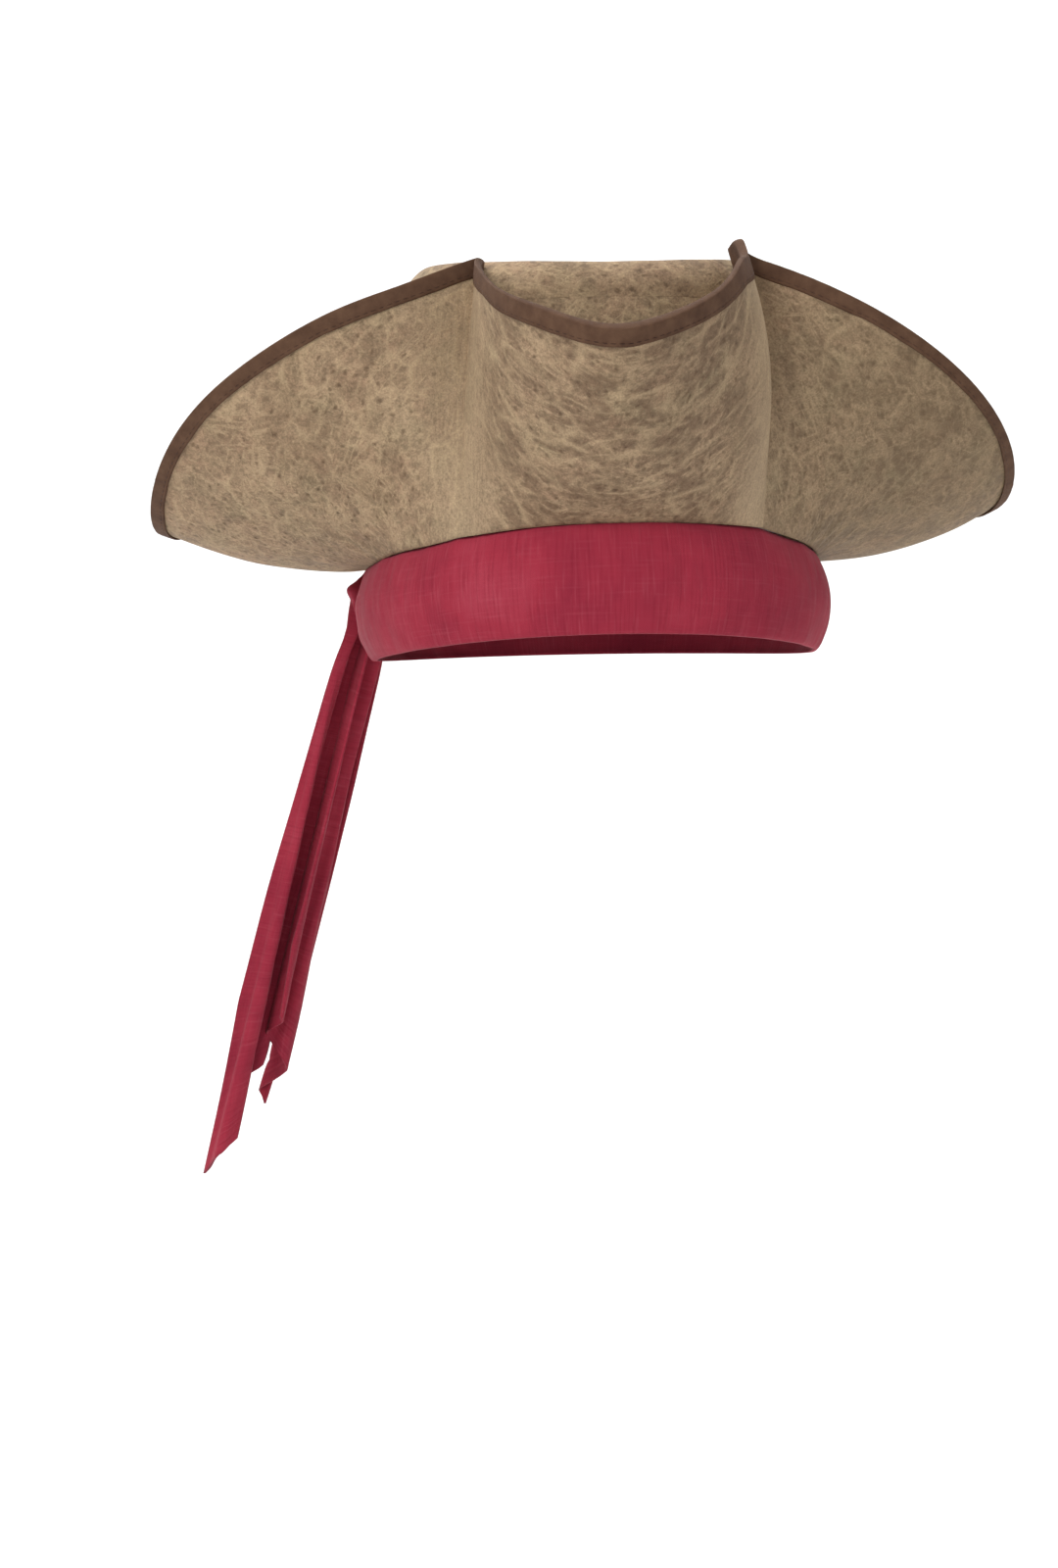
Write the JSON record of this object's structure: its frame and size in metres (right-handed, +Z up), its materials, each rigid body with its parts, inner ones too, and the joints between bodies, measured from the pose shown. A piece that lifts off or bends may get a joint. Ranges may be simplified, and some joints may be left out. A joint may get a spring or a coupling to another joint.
{
  "type": "pirate hat",
  "caption": "Three-cornered costume hat of distressed leather cloth with a dark bound brim, turned up at three tacks, and a headscarf band with a knot and loose tails below it.",
  "frame": {"origin": "centre of the head opening, at the mean height of the seam between crown, brim and headscarf", "axes": "+Z up through the crown, -Y toward the front of the hat, +X toward the wearer's left"},
  "size_m": [0.36, 0.3138, 0.3809],
  "materials": {
    "leather_cloth": "matt, distressed tan-brown leather cloth with fine pale scratches and darker mottling",
    "binding": "matt dark brown folded tape",
    "scarf": "matt crimson cotton",
    "lining": "matt dark brown lining cloth",
    "foam": "grey needled felt stiffener",
    "sweatband": "ribbed dark ribbon",
    "seam_tape": "matt woven tape",
    "thread": "waxed dark brown thread",
    "label": "blank white satin label"
  },
  "bodies": {
    "hat": {"crown_tip": "leather_cloth", "crown_tip_foam": "foam", "crown_tip_lining": "lining", "crown_wall": "leather_cloth", "crown_wall_foam": "foam", "crown_wall_lining": "lining", "crown_seam_tape": "seam_tape", "brim_top_layer": "leather_cloth", "brim_stiffener": "foam", "brim_under_layer": "leather_cloth", "brim_binding": "binding", "brim_tack_left": "thread", "brim_tack_right": "thread", "brim_tack_back": "thread", "sweatband": "sweatband", "head_seam_tape": "seam_tape", "care_label": "label", "bandana_band": "scarf", "bandana_knot": "scarf"},
    "tail_front": {"bandana_tail_front": "scarf"},
    "tail_back": {"bandana_tail_back": "scarf"}
  },
  "joints": [
    {"name": "tail_front_swing", "type": "hinge", "parent": "hat", "child": "tail_front", "pos_m": [-0.08958, 0.06508, -0.032], "axis": [0.5878, 0.809, 0], "range_deg": [-10, 55]},
    {"name": "tail_back_swing", "type": "hinge", "parent": "hat", "child": "tail_back", "pos_m": [-0.08958, 0.06508, -0.032], "axis": [0.5878, 0.809, 0], "range_deg": [-10, 55]}
  ]
}
